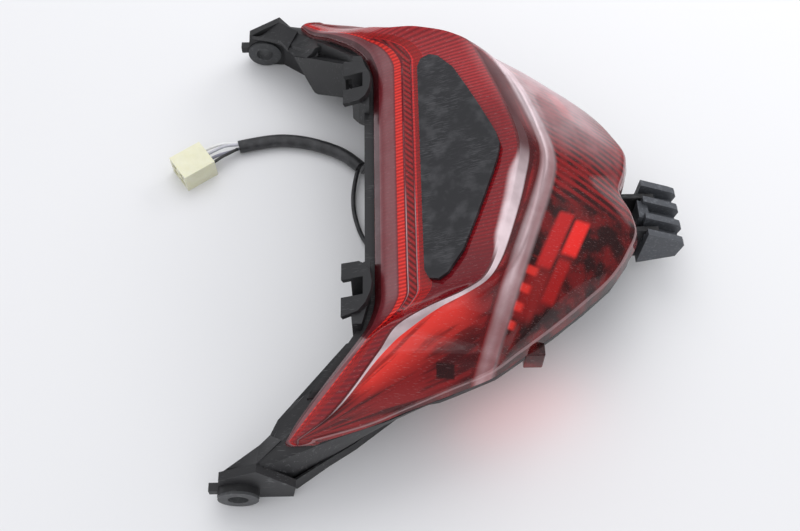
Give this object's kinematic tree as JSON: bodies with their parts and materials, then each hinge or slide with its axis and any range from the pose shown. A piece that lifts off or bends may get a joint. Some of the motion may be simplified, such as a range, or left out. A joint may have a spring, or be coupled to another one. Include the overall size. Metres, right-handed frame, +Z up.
{
  "type": "motorcycle tail light",
  "caption": "Motorcycle tail light: transparent red lens on a black housing with two mounting arms, twist-lock bulb holders and a short harness with a plug.",
  "frame": {"origin": "on the surface it rests on, under the middle of its length and width", "axes": "+X to the rear of the motorcycle, +Y to its right, +Z up out of the lens"},
  "size_m": [0.2645, 0.2724, 0.0923],
  "materials": {
    "housing_plastic": "fine grained black moulding",
    "red_lens": "polished transparent red plastic",
    "panel_black": "scuffed satin black",
    "foam_tape": "closed cell foam",
    "seal_rubber": "matt",
    "cushion_rubber": "matt moulded",
    "bush_rubber": "matt moulded",
    "bright_metal": "vacuum metallised",
    "screw_steel": "zinc plated",
    "bulb_glass": "clear",
    "bulb_brass": "bright",
    "filament_metal": "drawn wire",
    "holder_plastic": "moulded",
    "disc_fibre": "pressed fibre",
    "spring_steel": "drawn wire",
    "sleeve_vinyl": "soft vinyl",
    "lead_black": "vinyl",
    "wire_white": "vinyl",
    "wire_pale_grey": "vinyl",
    "wire_grey": "vinyl",
    "wire_black": "vinyl",
    "nylon_natural": "natural nylon",
    "terminal_brass": "tinned"
  },
  "bodies": {
    "lamp": {"rear_housing": "housing_plastic", "outer_lens": "red_lens", "centre_panel": "panel_black", "panel_tape": "foam_tape", "lens_seal": "seal_rubber", "rear_cushion": "cushion_rubber", "reflector_bezel": "bright_metal", "reflector_screws": "screw_steel", "harness_sleeve": "sleeve_vinyl", "left_lead": "lead_black", "right_lead": "lead_black", "wire_white": "wire_white", "wire_pale_grey": "wire_pale_grey", "wire_grey": "wire_grey", "wire_black": "wire_black", "connector_housing": "nylon_natural", "connector_terminals": "terminal_brass", "left_wing_reflector": "bright_metal", "left_reflector": "bright_metal", "left_arm_bush": "bush_rubber", "right_wing_reflector": "bright_metal", "right_reflector": "bright_metal", "right_arm_bush": "bush_rubber"},
    "left_holder": {"left_bulb_holder": "holder_plastic", "left_holder_seal": "seal_rubber", "left_contact_disc": "disc_fibre", "left_contact_spring": "spring_steel", "left_bulb_base": "bulb_brass", "left_bulb_glass": "bulb_glass", "left_filament": "filament_metal"},
    "right_holder": {"right_bulb_holder": "holder_plastic", "right_holder_seal": "seal_rubber", "right_contact_disc": "disc_fibre", "right_contact_spring": "spring_steel", "right_bulb_base": "bulb_brass", "right_bulb_glass": "bulb_glass", "right_filament": "filament_metal"}
  },
  "joints": [
    {"name": "left_holder_twist", "type": "hinge", "parent": "lamp", "child": "left_holder", "pos_m": [-0.02015, -0.038, 0.025], "axis": [1, 0, 0], "range_deg": [0, 45]},
    {"name": "right_holder_twist", "type": "hinge", "parent": "lamp", "child": "right_holder", "pos_m": [-0.02015, 0.038, 0.025], "axis": [1, 0, 0], "range_deg": [0, 45]}
  ]
}
